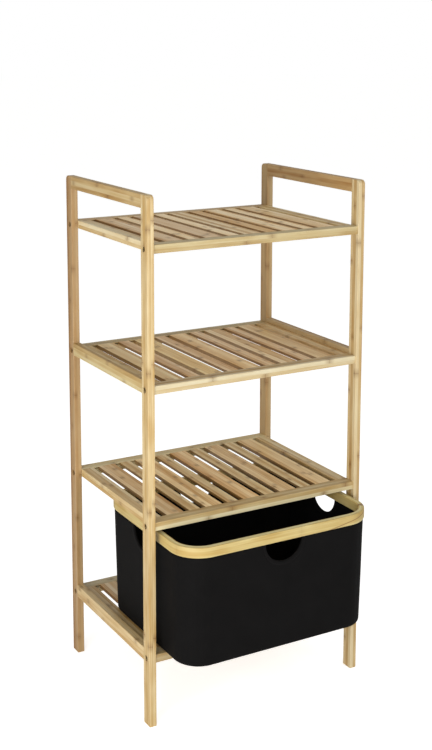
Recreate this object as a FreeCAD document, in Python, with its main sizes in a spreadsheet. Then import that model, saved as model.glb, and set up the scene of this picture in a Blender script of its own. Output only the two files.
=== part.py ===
import FreeCAD, Part

import math
import os

import Sketcher
from FreeCAD import Placement, Rotation, Vector

# A free-standing four-tier bamboo rack with a pull-out fabric basket on its lowest shelf.
# Two end frames (posts, top rails and side rails, all of one bar stock) are joined by four
# slatted shelves. Each shelf is bolted through the posts into barrel nuts in its long rails.
# Axes: X across the front, Y from front to back, Z up. The origin is on the floor, under the
# middle of the whole object with the basket drawn out.

SIZES = {
    # the end frames
    "rack_width": 470,
    "rack_depth": 355,
    "rack_height": 1000,
    "post_width": 14,
    "post_depth": 25,
    "frame_rail_height": 25,
    "frame_corner_radius": 9,
    "edge_ease": 1,
    # the shelves
    "lowest_shelf_top": 140,
    "shelf_pitch": 257,
    "shelf_thickness": 16,
    "shelf_inset": 2.5,
    "shelf_rail_width": 24,
    "side_bar_width": 25,
    "narrow_slat_width": 23,
    "slot_width": 12,
    "wide_slat_thickness": 8,
    "narrow_slat_thickness": 6,
    "side_rail_rise": 9,
    # tongues on the slats and side bars, held in a groove along each shelf rail
    "tongue_length": 5,
    "tongue_thickness": 3,
    "tongue_drop": 1.5,
    "groove_play": 0.2,
    # bolts, barrel nuts and dowels
    "bolt_diameter": 6,
    "bolt_head_diameter": 9.5,
    "bolt_head_height": 4,
    "bolt_hole_play": 0.4,
    "hex_key_size": 4,
    "hex_socket_depth": 2.5,
    "counterbore_diameter": 11,
    "counterbore_depth": 6,
    "nut_diameter": 10,
    "nut_length": 12,
    "nut_setback": 22,
    "bolt_past_nut": 6,
    "nut_play": 0.1,
    "dowel_diameter": 5,
    "dowel_length": 24,
    "dowel_play": 0.1,
    "dowel_edge": 6,
    # the basket
    "basket_width": 418,
    "basket_depth": 342,
    "basket_drawn_out": 98,
    "basket_lift": 0.5,
    "basket_wall_height": 211.5,
    "rim_height": 20,
    "rim_thickness": 12,
    "rim_corner_radius": 58,
    "rim_edge_radius": 2,
    "fabric_thickness": 3,
    "fabric_inset": 2,
    "fabric_taper": 5,
    "fabric_tuck": 6,
    "fabric_play": 0.4,
    "base_edge_radius": 5,
    "hand_hole_radius": 41,
    "base_board_thickness": 4,
    "base_board_gap": 1,
}

SHELF_COUNT = 4
WIDE_SLATS = 5
NARROW_SLATS = 4
SLOTS = WIDE_SLATS + NARROW_SLATS + 1
# Shelves are numbered from the top. Side rails stand beside the second and the lowest.
SHELVES_WITH_SIDE_RAILS = (2, 4)

doc = FreeCAD.newDocument("BambooRack")
sheet = doc.addObject("Spreadsheet::Sheet", "Sizes")
for row, (alias, value) in enumerate(SIZES.items(), start=1):
    sheet.set(f"A{row}", alias)
    sheet.set(f"B{row}", str(value))
    sheet.setAlias(f"B{row}", alias)
doc.recompute()


class Size:
    """A length: its expression over the sheet, and what that comes to now."""

    def __init__(self, text, value):
        self.text = text
        self.value = value

    def joined(self, sign, other, value):
        return Size(f"({self.text} {sign} {as_size(other).text})", value)

    def __add__(self, other):
        return self.joined("+", other, self.value + as_size(other).value)

    def __sub__(self, other):
        return self.joined("-", other, self.value - as_size(other).value)

    def __mul__(self, other):
        return self.joined("*", other, self.value * as_size(other).value)

    def __truediv__(self, other):
        return self.joined("/", other, self.value / as_size(other).value)

    def __radd__(self, other):
        return as_size(other) + self

    def __rsub__(self, other):
        return as_size(other) - self

    def __rmul__(self, other):
        return as_size(other) * self

    def __neg__(self):
        return as_size(-1) * self


def as_size(number):
    """A plain number as a Size. A Size stays as it is."""
    return number if isinstance(number, Size) else Size(str(number), float(number))


def size(alias):
    """The length in one cell of the sheet."""
    return Size(f"Sizes.{alias}", float(getattr(sheet, alias)))


def bind(target, **expressions):
    """Binds properties of an object: at_x, at_y and at_z stand for its place."""
    places = {"at_x": "Placement.Base.x", "at_y": "Placement.Base.y", "at_z": "Placement.Base.z"}
    for name, expression in expressions.items():
        target.setExpression(places.get(name, name), as_size(expression).text)


# ---- positions that several pieces share -------------------------------------------------

half_width = size("rack_width") / 2
half_depth = size("rack_depth") / 2
# The rack's own middle lies behind the origin, because the drawn-out basket counts too.
rack_y = (size("basket_drawn_out") + size("basket_depth") / 2 - half_depth) / 2
inner_half_width = half_width - size("post_width")
frame_gap_half = half_depth - size("post_depth")
shelf_half_depth = half_depth - size("shelf_inset")
shelf_width = size("rack_width") - 2 * size("post_width")
slat_half_length = shelf_half_depth - size("shelf_rail_width")
rail_axis_offset = shelf_half_depth - size("shelf_rail_width") / 2
wide_slat_width = (
    shelf_width
    - 2 * size("side_bar_width")
    - SLOTS * size("slot_width")
    - NARROW_SLATS * size("narrow_slat_width")
) / WIDE_SLATS
bolt_drop = size("shelf_thickness") / 2
head_seat = size("post_width") - size("counterbore_depth")
basket_y = rack_y - size("basket_drawn_out")
basket_z = size("lowest_shelf_top") + size("basket_lift")
bolt_hole = size("bolt_diameter") + size("bolt_hole_play")

ALONG_X = Rotation(Vector(0, 1, 0), 90)
ALONG_Y = Rotation(Vector(1, 0, 0), -90)
ALONG_Z = Rotation()
SIDES = {"left": -1, "right": 1}
ENDS = {"front": -1, "rear": 1}
NEAR = 1e-6


def shelf_top(shelf):
    """Height of a shelf's upper face. Shelf 1 is the highest."""
    return size("lowest_shelf_top") + (SHELF_COUNT - shelf) * size("shelf_pitch")


def side_rail_top(shelf):
    """Height of the top of the side rail beside a shelf."""
    return shelf_top(shelf) + size("side_rail_rise")


# ---- ways of making a piece ----------------------------------------------------------------

nodes = []


def keep(piece, label):
    """Names a finished piece and puts it on the list of nodes."""
    piece.Label = label
    nodes.append(piece)


def new_body(name):
    return doc.addObject("PartDesign::Body", name)


def plane(body, role):
    """One of a body's own origin planes."""
    return next(f for f in body.Origin.OriginFeatures if f.Role == role)


def new_sketch(body, name, role, height=0):
    """A sketch on an origin plane of its body, lifted off it along the plane's normal."""
    sketch = body.newObject("Sketcher::SketchObject", name)
    sketch.AttachmentSupport = [(plane(body, role), "")]
    sketch.MapMode = "FlatFace"
    sketch.setExpression("AttachmentOffset.Base.z", as_size(height).text)
    return sketch


def hold(sketch, kind, geometry, point, length):
    """Holds a point's distance from the sketch's origin, or an arc's radius, at a length."""
    length = as_size(length)
    if kind == "Radius":
        constraint = Sketcher.Constraint(kind, geometry, length.value)
    else:
        constraint = Sketcher.Constraint(kind, -1, 1, geometry, point, length.value)
    number = sketch.addConstraint(constraint)
    sketch.setExpression(f"Constraints[{number}]", length.text)


def polygon(body, name, role, corners):
    """A closed outline of straight lines, with every corner held by the sheet."""
    sketch = new_sketch(body, name, role)
    spots = [Vector(as_size(across).value, as_size(up).value, 0) for across, up in corners]
    for start, end in zip(spots, spots[1:] + spots[:1]):
        sketch.addGeometry(Part.LineSegment(start, end))
    for line, (across, up) in enumerate(corners):
        following = (line + 1) % len(corners)
        sketch.addConstraint(Sketcher.Constraint("Coincident", line, 2, following, 1))
        hold(sketch, "DistanceX", line, 1, across)
        hold(sketch, "DistanceY", line, 1, up)
    return sketch


def round_rectangle(sketch, width, depth, radius):
    """Adds to a sketch a rectangle with round corners about the origin."""
    first = sketch.GeometryCount
    x, y, r = width.value / 2, depth.value / 2, radius.value
    corners = [(x - r, y - r), (r - x, y - r), (r - x, r - y), (x - r, r - y)]
    for turn, (centre_x, centre_y) in enumerate(corners):
        circle = Part.Circle(Vector(centre_x, centre_y, 0), Vector(0, 0, 1), r)
        start = turn * math.pi / 2
        sketch.addGeometry(Part.ArcOfCircle(circle, start, start + math.pi / 2))
    sides = [
        ((x - r, y), (r - x, y)),
        ((-x, y - r), (-x, r - y)),
        ((r - x, -y), (x - r, -y)),
        ((x, r - y), (x, y - r)),
    ]
    for start, end in sides:
        sketch.addGeometry(Part.LineSegment(Vector(*start, 0), Vector(*end, 0)))
    for turn in range(4):
        side = first + 4 + turn
        arc = first + turn
        next_arc = first + (turn + 1) % 4
        way = "Horizontal" if turn % 2 == 0 else "Vertical"
        sketch.addConstraint(Sketcher.Constraint("Tangent", arc, 2, side, 1))
        sketch.addConstraint(Sketcher.Constraint("Tangent", side, 2, next_arc, 1))
        sketch.addConstraint(Sketcher.Constraint(way, side))
        if turn:
            sketch.addConstraint(Sketcher.Constraint("Equal", first, arc))
    hold(sketch, "Radius", first, 0, radius)
    hold(sketch, "DistanceY", first + 4, 1, depth / 2)
    hold(sketch, "DistanceX", first + 5, 1, -width / 2)
    hold(sketch, "DistanceY", first + 6, 1, -depth / 2)
    hold(sketch, "DistanceX", first + 7, 1, width / 2)


def pad(body, sketch, length):
    """Raises a sketch into a solid along its plane's normal."""
    feature = body.newObject("PartDesign::Pad", "Pad")
    feature.Profile = sketch
    bind(feature, Length=length)
    return feature


def drill(body, name, diameter, depth, turn, x, y, z):
    """Takes a round hole out of a body, from a point along the turned Z axis."""
    hole = body.newObject("PartDesign::SubtractiveCylinder", name)
    hole.Placement = Placement(Vector(), turn)
    bind(hole, Radius=diameter / 2, Height=depth, at_x=x, at_y=y, at_z=z)
    return hole


def is_at(length, *places):
    """Whether a length is one of several places."""
    return any(abs(length - place) < NEAR for place in places)


def edge_names(shape, test):
    """The names of a shape's edges whose middle passes a test."""
    names = []
    for number, edge in enumerate(shape.Edges, start=1):
        middle = edge.valueAt((edge.FirstParameter + edge.LastParameter) / 2)
        if test(middle):
            names.append(f"Edge{number}")
    return names


def round_edges(body, base, name, radius, test):
    """Rounds the edges of a feature that pass a test."""
    doc.recompute()
    names = edge_names(base.Shape, test)
    if not names:
        raise ValueError(f"{name}: no edge to round")
    feature = body.newObject("PartDesign::Fillet", name)
    feature.Base = (base, names)
    bind(feature, Radius=radius)
    body.Tip = feature
    return feature


def cylinder(name, diameter, length, turn, x, y, z):
    """A round bar from a point along the turned Z axis."""
    bar = doc.addObject("Part::Cylinder", name)
    bar.Placement = Placement(Vector(), turn)
    bind(bar, Radius=diameter / 2, Height=length, at_x=x, at_y=y, at_z=z)
    return bar


def group(label, pieces):
    """Several separate solids that share one node."""
    compound = doc.addObject("Part::Compound", label)
    compound.Links = pieces
    keep(compound, label)


# ---- the end frames ------------------------------------------------------------------------


def dowel_heights():
    """Height of each dowel in a frame's rails, by rail."""
    top = size("rack_height")
    heights = [("top", top - size("dowel_edge"))]
    heights.append(("top_low", top - size("frame_rail_height") + size("dowel_edge")))
    for shelf in SHELVES_WITH_SIDE_RAILS:
        heights.append((f"side_{shelf}", side_rail_top(shelf) - size("dowel_edge")))
    return heights


def make_post(side, end):
    """A post, with its outer top corner rounded and its bolt and dowel holes."""
    body = new_body(f"post_{end}_{side}")
    half = size("post_depth") / 2
    top = size("rack_height")
    corners = [(-half, 0), (half, 0), (half, top), (-half, top)]
    bar = pad(body, polygon(body, "Outline", "YZ_Plane", corners), size("post_width"))
    outer_y = ENDS[end] * half.value
    rounded = round_edges(
        body,
        bar,
        "OuterCorner",
        size("frame_corner_radius"),
        lambda p: is_at(p.y, outer_y) and is_at(p.z, top.value),
    )
    faces = (0, size("post_width").value)
    ease = size("edge_ease")
    round_edges(body, rounded, "Ease", ease, lambda p: p.z > NEAR and is_at(p.x, *faces))
    outer_face = 0 if side == "left" else head_seat
    hole_y = -ENDS[end] * (half_depth - size("post_depth") / 2 - rail_axis_offset)
    for shelf in range(1, SHELF_COUNT + 1):
        z = shelf_top(shelf) - bolt_drop
        drill(body, "BoltHole", bolt_hole, size("post_width"), ALONG_X, 0, hole_y, z)
        drill(
            body,
            "Counterbore",
            size("counterbore_diameter"),
            size("counterbore_depth"),
            ALONG_X,
            outer_face,
            hole_y,
            z,
        )
    # Dowel holes open in the face that meets the rails.
    reach = size("dowel_length") / 2 + size("dowel_play")
    start = -half if end == "rear" else half - reach
    for _, z in dowel_heights():
        drill(
            body,
            "DowelHole",
            size("dowel_diameter") + size("dowel_play"),
            reach,
            ALONG_Y,
            size("post_width") / 2,
            start,
            z,
        )
    left_edge = -half_width if side == "left" else inner_half_width
    bind(body, at_x=left_edge, at_y=rack_y + ENDS[end] * (half_depth - half))
    keep(body, f"post_{end}_{side}")


def make_frame_rail(label, side, top, dowels):
    """A rail between the posts of an end frame, drilled for its dowels at both ends."""
    body = new_body(label)
    blank = body.newObject("PartDesign::AdditiveBox", "Blank")
    length = 2 * frame_gap_half
    bind(blank, Length=size("post_width"), Width=length, Height=size("frame_rail_height"))
    middle = frame_gap_half.value
    round_edges(body, blank, "Ease", size("edge_ease"), lambda p: is_at(p.y, middle))
    reach = size("dowel_length") / 2 + size("dowel_play")
    for height in dowels:
        for start in (0, length - reach):
            drill(
                body,
                "DowelHole",
                size("dowel_diameter") + size("dowel_play"),
                reach,
                ALONG_Y,
                size("post_width") / 2,
                start,
                height,
            )
    left_edge = -half_width if side == "left" else inner_half_width
    bind(
        body,
        at_x=left_edge,
        at_y=rack_y - frame_gap_half,
        at_z=top - size("frame_rail_height"),
    )
    keep(body, label)


def make_end_frames():
    """Both end frames, with the dowels that hold their rails."""
    upper = size("frame_rail_height") - size("dowel_edge")
    lower = size("dowel_edge")
    dowels = []
    for side, sign in SIDES.items():
        for end in ENDS:
            make_post(side, end)
        make_frame_rail(f"top_rail_{side}", side, size("rack_height"), [upper, lower])
        for shelf in SHELVES_WITH_SIDE_RAILS:
            make_frame_rail(f"side_rail_{shelf}_{side}", side, side_rail_top(shelf), [upper])
        middle_x = sign * (half_width - size("post_width") / 2)
        for end, end_sign in ENDS.items():
            start = rack_y + end_sign * frame_gap_half - size("dowel_length") / 2
            for _, z in dowel_heights():
                dowels.append(
                    cylinder(
                        "Dowel",
                        size("dowel_diameter"),
                        size("dowel_length"),
                        ALONG_Y,
                        middle_x,
                        start,
                        z,
                    )
                )
    group("frame_dowels", dowels)


# ---- the shelves ---------------------------------------------------------------------------


def make_shelf_rail(shelf, end):
    """A shelf's front or rear rail: grooved inside, with bolt and barrel nut holes."""
    label = f"shelf_{shelf}_{end}_rail"
    body = new_body(label)
    sign = ENDS[end]
    outer = sign * size("shelf_rail_width") / 2
    inner = -outer
    thick = size("shelf_thickness")
    groove_top = thick - size("tongue_drop") + size("groove_play") / 2
    groove_floor = groove_top - size("tongue_thickness") - size("groove_play")
    groove_back = inner + sign * (size("tongue_length") + size("groove_play"))
    outline = polygon(
        body,
        "Section",
        "YZ_Plane",
        [
            (outer, 0),
            (inner, 0),
            (inner, groove_floor),
            (groove_back, groove_floor),
            (groove_back, groove_top),
            (inner, groove_top),
            (inner, thick),
            (outer, thick),
        ],
    )
    bar = pad(body, outline, shelf_width)
    middle = shelf_width.value / 2
    # The edge that meets the slats stays sharp, and so does the groove.
    round_edges(
        body,
        bar,
        "Ease",
        size("edge_ease"),
        lambda p: is_at(p.x, middle) and (is_at(p.y, outer.value) or is_at(p.z, 0)),
    )
    bolt_reach = size("nut_setback") + size("bolt_past_nut") + size("bolt_hole_play")
    nut_reach = (thick + size("nut_length")) / 2 + size("nut_play")
    bolt_height = thick - bolt_drop
    for start in (0, shelf_width - bolt_reach):
        drill(body, "BoltHole", bolt_hole, bolt_reach, ALONG_X, start, 0, bolt_height)
    for x in (size("nut_setback"), shelf_width - size("nut_setback")):
        bore = size("nut_diameter") + size("nut_play")
        drill(body, "NutHole", bore, nut_reach, ALONG_Z, x, 0, 0)
    bind(
        body,
        at_x=-inner_half_width,
        at_y=rack_y + sign * rail_axis_offset,
        at_z=shelf_top(shelf) - thick,
    )
    keep(body, label)


def tongued_bar(name, width, thickness):
    """A bar that runs from front to back, with a tongue at each end to fit the grooves."""
    body = new_body(name)
    shoulder = slat_half_length
    tip = slat_half_length + size("tongue_length")
    tongue_top = thickness - size("tongue_drop")
    tongue_floor = tongue_top - size("tongue_thickness")
    outline = polygon(
        body,
        "Section",
        "YZ_Plane",
        [
            (-shoulder, 0),
            (shoulder, 0),
            (shoulder, tongue_floor),
            (tip, tongue_floor),
            (tip, tongue_top),
            (shoulder, tongue_top),
            (shoulder, thickness),
            (-shoulder, thickness),
            (-shoulder, tongue_top),
            (-tip, tongue_top),
            (-tip, tongue_floor),
            (-shoulder, tongue_floor),
        ],
    )
    bar = pad(body, outline, width)
    faces = (0, as_size(thickness).value)
    ease = size("edge_ease")
    round_edges(body, bar, "Ease", ease, lambda p: is_at(p.y, 0) and is_at(p.z, *faces))
    return body


def place_bar(bar, shelf, left_edge, thickness):
    """Puts a tongued bar into a shelf with its top face flush."""
    bind(bar, at_x=left_edge, at_y=rack_y, at_z=shelf_top(shelf) - thickness)


def make_shelf(shelf):
    """One shelf: two rails, two side bars, and wide and narrow slats that take turns."""
    for end in ENDS:
        make_shelf_rail(shelf, end)
    thick = size("shelf_thickness")
    for side in SIDES:
        label = f"shelf_{shelf}_side_bar_{side}"
        bar = tongued_bar(label, size("side_bar_width"), thick)
        edge = -inner_half_width if side == "left" else inner_half_width - size("side_bar_width")
        place_bar(bar, shelf, edge, thick)
        keep(bar, label)
    edge = size("side_bar_width") + size("slot_width") - inner_half_width
    narrow = []
    for slat in range(WIDE_SLATS + NARROW_SLATS):
        wide = slat % 2 == 0
        label = f"shelf_{shelf}_wide_slat_{slat // 2 + 1}" if wide else "NarrowSlat"
        width = wide_slat_width if wide else size("narrow_slat_width")
        thickness = size("wide_slat_thickness" if wide else "narrow_slat_thickness")
        bar = tongued_bar(label, width, thickness)
        place_bar(bar, shelf, edge, thickness)
        if wide:
            keep(bar, label)
        else:
            narrow.append(bar)
        edge = edge + width + size("slot_width")
    group(f"shelf_{shelf}_narrow_slats", narrow)


def make_bolt(side, y, z):
    """A hexagon socket bolt, its head sunk in a post and its shank in a shelf rail."""
    sign = SIDES[side]
    seat = sign * (half_width - size("counterbore_depth"))
    shank_length = head_seat + size("nut_setback") + size("bolt_past_nut")
    head_start = seat if side == "right" else seat - size("bolt_head_height")
    shank_start = seat if side == "left" else seat - shank_length
    socket_start = seat + sign * (size("bolt_head_height") - size("hex_socket_depth"))
    if side == "left":
        socket_start = socket_start - size("hex_socket_depth")
    head = cylinder(
        "Head", size("bolt_head_diameter"), size("bolt_head_height"), ALONG_X, head_start, y, z
    )
    shank = cylinder("Shank", size("bolt_diameter"), shank_length, ALONG_X, shank_start, y, z)
    whole = doc.addObject("Part::Fuse", "Whole")
    whole.Base = head
    whole.Tool = shank
    socket = doc.addObject("Part::Prism", "Socket")
    socket.Polygon = 6
    socket.Placement = Placement(Vector(), ALONG_X)
    bind(
        socket,
        Circumradius=size("hex_key_size") / Size("sqrt(3)", math.sqrt(3)),
        Height=size("hex_socket_depth"),
        at_x=socket_start,
        at_y=y,
        at_z=z,
    )
    bolt = doc.addObject("Part::Cut", "Bolt")
    bolt.Base = whole
    bolt.Tool = socket
    return bolt


def make_nut(side, y, z):
    """A barrel nut, upright in a shelf rail and crossed by its bolt's bore."""
    x = SIDES[side] * (inner_half_width - size("nut_setback"))
    half = size("nut_length") / 2
    barrel = cylinder(
        "Barrel", size("nut_diameter"), size("nut_length"), ALONG_Z, x, y, z - half
    )
    bore = cylinder(
        "Bore",
        size("bolt_diameter") + size("nut_play"),
        2 * size("nut_diameter"),
        ALONG_X,
        x - size("nut_diameter"),
        y,
        z,
    )
    nut = doc.addObject("Part::Cut", "Nut")
    nut.Base = barrel
    nut.Tool = bore
    return nut


def make_fasteners():
    """The bolts and barrel nuts, four of each to a shelf."""
    bolts = []
    nuts = []
    for shelf in range(1, SHELF_COUNT + 1):
        z = shelf_top(shelf) - bolt_drop
        for side in SIDES:
            for end_sign in ENDS.values():
                y = rack_y + end_sign * rail_axis_offset
                bolts.append(make_bolt(side, y, z))
                nuts.append(make_nut(side, y, z))
    group("shelf_bolts", bolts)
    group("barrel_nuts", nuts)


# ---- the basket ----------------------------------------------------------------------------


def fabric_outline(body, name, height, inside):
    """The fabric's rounded outline at a height, which widens from the base to the rim."""
    sketch = new_sketch(body, name, "XY_Plane", height)
    spread = size("fabric_taper") * height / size("basket_wall_height")
    inset = size("fabric_inset") + size("fabric_taper") - spread + inside
    round_rectangle(
        sketch,
        size("basket_width") - 2 * inset,
        size("basket_depth") - 2 * inset,
        size("rim_corner_radius") - inset,
    )
    return sketch


def make_basket_fabric():
    """The fabric body: tapered, open at the top, with a round hand hole in each wall."""
    body = new_body("basket_fabric")
    wall = size("fabric_thickness")
    wall_top = size("basket_wall_height") + size("fabric_tuck")
    block = pad(body, fabric_outline(body, "Base", 0, 0), wall_top)
    taper = size("fabric_taper") / size("basket_wall_height")
    angle = Size(f"atan({taper.text})", math.degrees(math.atan(taper.value)))
    bind(block, TaperAngle=angle)
    base = size("base_edge_radius")
    round_edges(body, block, "BaseEdge", base, lambda p: is_at(p.z, 0))
    doc.recompute()
    solid_volume = body.Shape.Volume
    hollow = body.newObject("PartDesign::Pocket", "Hollow")
    hollow.Profile = fabric_outline(body, "Floor", wall, wall)
    hollow.Reversed = True
    bind(hollow, Length=wall_top - wall, TaperAngle=angle)
    inside = base - wall
    floor = wall.value
    round_edges(body, hollow, "FloorEdge", inside, lambda p: is_at(p.z, floor))
    doc.recompute()
    if not 0 < body.Shape.Volume < solid_volume / 2:
        raise RuntimeError("the basket's fabric was not hollowed")
    hand_hole = 2 * size("hand_hole_radius")
    height = size("basket_wall_height")
    depth = size("basket_depth")
    width = size("basket_width")
    drill(body, "HandHole", hand_hole, depth, ALONG_Y, 0, -depth / 2, height)
    drill(body, "HandHole", hand_hole, width, ALONG_X, -width / 2, 0, height)
    bind(body, at_y=basket_y, at_z=basket_z)
    keep(body, "basket_fabric")


def rim_ring(body, name, outer_inset, inner_inset):
    """A closed band that follows the rim, between two insets from its outer face."""
    sketch = new_sketch(body, name, "XY_Plane")
    for inset in (outer_inset, inner_inset):
        round_rectangle(
            sketch,
            size("basket_width") - 2 * inset,
            size("basket_depth") - 2 * inset,
            size("rim_corner_radius") - inset,
        )
    return sketch


def make_basket_rim():
    """The bent bamboo hoop, with a groove underneath that takes the fabric's hem."""
    body = new_body("basket_rim")
    hoop = pad(body, rim_ring(body, "Hoop", 0, size("rim_thickness")), size("rim_height"))
    top = size("rim_height").value
    round_edges(body, hoop, "Edges", size("rim_edge_radius"), lambda p: is_at(p.z, 0, top))
    doc.recompute()
    hoop_volume = body.Shape.Volume
    groove = body.newObject("PartDesign::Pocket", "HemGroove")
    near = size("fabric_inset") - size("fabric_play")
    far = size("fabric_inset") + size("fabric_thickness") + size("fabric_play")
    groove.Profile = rim_ring(body, "Groove", near, far)
    groove.Reversed = True
    bind(groove, Length=size("fabric_tuck") + size("fabric_play"))
    doc.recompute()
    if not body.Shape.Volume < hoop_volume - 1:
        raise RuntimeError("the hem groove cut nothing")
    bind(body, at_y=basket_y, at_z=basket_z + size("basket_wall_height"))
    keep(body, "basket_rim")


def make_base_board():
    """The stiff board that lies in the basket, as far as its floor is flat."""
    body = new_body("basket_base_board")
    inside = size("base_edge_radius") + size("base_board_gap")
    outline = fabric_outline(body, "Outline", size("fabric_thickness"), inside)
    pad(body, outline, size("base_board_thickness"))
    bind(body, at_y=basket_y, at_z=basket_z)
    keep(body, "basket_base_board")


def check_and_export():
    """Stops on any failed object, then writes each node's solids."""
    doc.recompute()
    for item in doc.Objects:
        if "Invalid" in item.State or "Error" in item.State:
            raise RuntimeError(f"{item.Label} failed: {item.State}")
    os.makedirs("parts", exist_ok=True)
    for node in nodes:
        shape = node.Shape
        if shape.isNull() or not shape.isValid() or not shape.Solids:
            raise RuntimeError(f"{node.Label} has no valid solid")
        shape.exportStep(f"parts/{node.Label}.step")
    print(f"{len(nodes)} nodes written")


make_end_frames()
for shelf_number in range(1, SHELF_COUNT + 1):
    make_shelf(shelf_number)
make_fasteners()
make_basket_fabric()
make_basket_rim()
make_base_board()
check_and_export()
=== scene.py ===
"""Dresses a slatted bamboo rack and sews its pull-out basket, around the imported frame."""

import math
import random

import bmesh
import bpy
from bpy.props import FloatProperty, FloatVectorProperty, PointerProperty
from mathutils import Matrix, Vector, noise


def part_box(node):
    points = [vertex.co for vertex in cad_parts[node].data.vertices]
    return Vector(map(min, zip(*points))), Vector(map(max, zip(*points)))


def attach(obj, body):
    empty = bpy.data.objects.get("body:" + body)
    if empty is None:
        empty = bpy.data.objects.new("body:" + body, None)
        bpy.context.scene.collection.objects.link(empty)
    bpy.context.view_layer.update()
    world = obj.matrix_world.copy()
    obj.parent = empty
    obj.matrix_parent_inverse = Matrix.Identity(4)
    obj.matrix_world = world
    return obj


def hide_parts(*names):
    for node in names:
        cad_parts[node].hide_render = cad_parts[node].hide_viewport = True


bl_info = {
    "name": "Slatted Rack and Basket",
    "version": (1, 0, 0),
    "blender": (4, 5, 0),
    "location": "3D View > Sidebar > Slatted Rack",
    "description": "Finishes a slatted bamboo rack and makes its rimmed fabric basket",
    "category": "Object",
}

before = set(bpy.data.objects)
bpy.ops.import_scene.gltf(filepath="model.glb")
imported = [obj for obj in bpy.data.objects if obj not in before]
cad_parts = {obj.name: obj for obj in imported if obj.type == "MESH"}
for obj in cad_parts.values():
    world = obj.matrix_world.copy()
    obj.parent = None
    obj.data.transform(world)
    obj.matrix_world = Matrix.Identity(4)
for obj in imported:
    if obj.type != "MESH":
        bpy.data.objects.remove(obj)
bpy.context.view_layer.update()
MM = 0.001
# Planing takes this much off a glued bar's outer strips, so no face lies along a glue line.
PLANED = 0.5 * MM
# Each kind of bar's tint: how much of each colour its strips keep. Most are the cane's own tone.
# The darker, redder tints of the rear posts and right-hand rails are partly tone and partly
# painted shade:
# the shade behind the shelves, and away from the left light.
TONE_AND_SHADE_TINTS = {
    "left_post": (0.89, 0.98, 1.08),
    "right_post": (0.85, 0.80, 0.75),
    # Painted shade as well as tone: darker and redder than the front posts.
    "rear_post": (0.60, 0.50, 0.42),
    "left_rail": (0.84, 0.83, 0.77),
    # Painted shade as well as tone: darker and redder than the left rails.
    "right_rail": (0.61, 0.52, 0.42),
    "shelf_rail": (0.80, 0.84, 0.86),
    "side_bar": (0.90, 0.90, 0.88),
    "slat": (1.17, 1.11, 1.07),
    "hoop": (0.90, 1.02, 0.96),
}
# The colour sockets of a Mix node.
MIX_FIRST, MIX_SECOND, MIX_RESULT = 6, 7, 2


def linear(hex_text):
    """An sRGB hex colour as linear red, green, blue and alpha."""
    values = [int(hex_text[i : i + 2], 16) / 255 for i in (1, 3, 5)]
    curve = [v / 12.92 if v <= 0.04045 else ((v + 0.055) / 1.055) ** 2.4 for v in values]
    return (*curve, 1.0)


def colour(name, description, hex_text):
    """A colour setting."""
    return FloatVectorProperty(
        name=name,
        description=description,
        subtype="COLOR",
        size=4,
        min=0,
        max=1,
        default=linear(hex_text),
    )


def length(name, description, metres):
    """A length setting."""
    return FloatProperty(name=name, description=description, unit="LENGTH", default=metres)


def bearing(name, description, degrees):
    """An angle setting."""
    radians = math.radians(degrees)
    return FloatProperty(name=name, description=description, subtype="ANGLE", default=radians)


def power(name, description, watts):
    """A lamp's power."""
    return FloatProperty(name=name, description=description, unit="POWER", default=watts)


def number(name, description, value):
    """A setting with no unit."""
    return FloatProperty(name=name, description=description, subtype="FACTOR", default=value)


# ---- settings --------------------------------------------------------------------------------


class BambooLook(bpy.types.PropertyGroup):
    """Colours and grain of the laminated, lacquered bamboo."""

    pale: colour("Pale strip", "The lightest strips", "#ECDBAE")
    golden: colour("Golden strip", "The usual strips", "#DCC18A")
    brown: colour("Brown strip", "The darkest strips", "#BC9350")
    # The knuckle colour is also the colour of the painted shade on the slats' sides, and of the
    # hoop's joint line.
    knuckle: colour("Knuckle", "The bands where the cane had a joint", "#7A5220")
    strip: length("Strip width", "Width of one glued strip of cane", 8 * MM)
    knuckle_gap: length("Knuckle spacing", "Distance between the joints of one cane", 260 * MM)
    knuckle_band: length("Knuckle band", "From its middle to the end of its band", 2.2 * MM)
    knuckle_stain: length("Knuckle stain", "From its middle to the end of its stain", 14 * MM)
    knuckle_wander: length("Knuckle wander", "How far it strays from a straight line", 5 * MM)
    fibre: length("Fibre spacing", "Distance between the dark fibre bundles", 0.9 * MM)
    glue_line: length("Glue line", "Width of the line between two strips", 0.35 * MM)


class BasketLook(bpy.types.PropertyGroup):
    """Sizes of the sewn basket and its hoop."""

    cloth: colour("Cloth", "The dyed polyester cloth", "#0D0C0C")
    sewing: colour("Sewing thread", "The thread of the stitches", "#1D1A1B")
    thread: length("Thread spacing", "Distance between the threads of the weave", 1.1 * MM)
    rim_thickness: length("Rim thickness", "The hoop, from its outside to its inside", 12 * MM)
    rim_corner: length("Rim corner", "Outer radius of the hoop's corners", 58 * MM)
    rim_edge: length("Rim edge", "Radius of the hoop's rounded edges", 2 * MM)
    joint: length("Hoop joint", "From the middle of the front to the hoop's joint", 96 * MM)
    inset: length("Cloth inset", "How far the cloth lies inside the hoop's outer face", 2 * MM)
    taper: length("Taper", "How much each wall leans in towards the base", 5 * MM)
    wall: length("Wall", "Thickness of the stiffened cloth", 3 * MM)
    base_edge: length("Base edge", "Radius of the fold round the base", 5 * MM)
    belly: length("Belly", "How far the middle of a wall stands out", 0.8 * MM)
    wave: length("Wave", "Height of the slow waves in the walls", 0.5 * MM)
    crease: length("Crease", "Depth of the creases in the corners", 0.9 * MM)
    hand_hole: length("Hand hole", "Radius of the half-round hand holes", 41 * MM)
    binding: length("Binding", "Width of the tape bound round a hand hole", 7 * MM)
    tape: length("Tape", "Thickness of that tape", 0.8 * MM)
    stitch: length("Stitch", "Length of one stitch", 3 * MM)


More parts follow.
